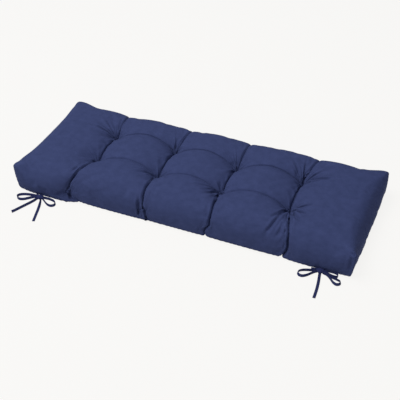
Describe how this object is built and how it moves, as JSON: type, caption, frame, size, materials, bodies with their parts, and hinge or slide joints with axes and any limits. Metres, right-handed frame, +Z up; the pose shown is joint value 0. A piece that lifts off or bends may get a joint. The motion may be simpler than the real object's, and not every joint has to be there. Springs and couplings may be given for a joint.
{
  "type": "tufted bench cushion",
  "caption": "Long filled bench cushion, tacked right through in rows so that deep creases part it into soft pillows, with ribbon ties in bows along its front edge.",
  "frame": {"origin": "on the surface that the cushion rests on, under the middle of the cushion", "axes": "+X along the cushion's length, +Y from its front edge, which has the ties, to its back edge, +Z up through its thickness"},
  "size_m": [1.292, 0.6261, 0.1249],
  "materials": {
    "cover_cloth": "matt plain-weave polyester, navy blue",
    "tie_cloth": "matt folded tape of the same cloth, a little darker"
  },
  "bodies": {
    "root": {"cushion": "cover_cloth", "left_tie_knot": "tie_cloth", "left_tie_outer_loop": "tie_cloth", "left_tie_inner_loop": "tie_cloth", "left_tie_outer_end": "tie_cloth", "left_tie_inner_end": "tie_cloth", "right_tie_knot": "tie_cloth", "right_tie_outer_loop": "tie_cloth", "right_tie_upper_loop": "tie_cloth", "right_tie_lower_loop": "tie_cloth", "right_tie_long_end": "tie_cloth", "right_tie_short_end": "tie_cloth"}
  },
  "joints": []
}
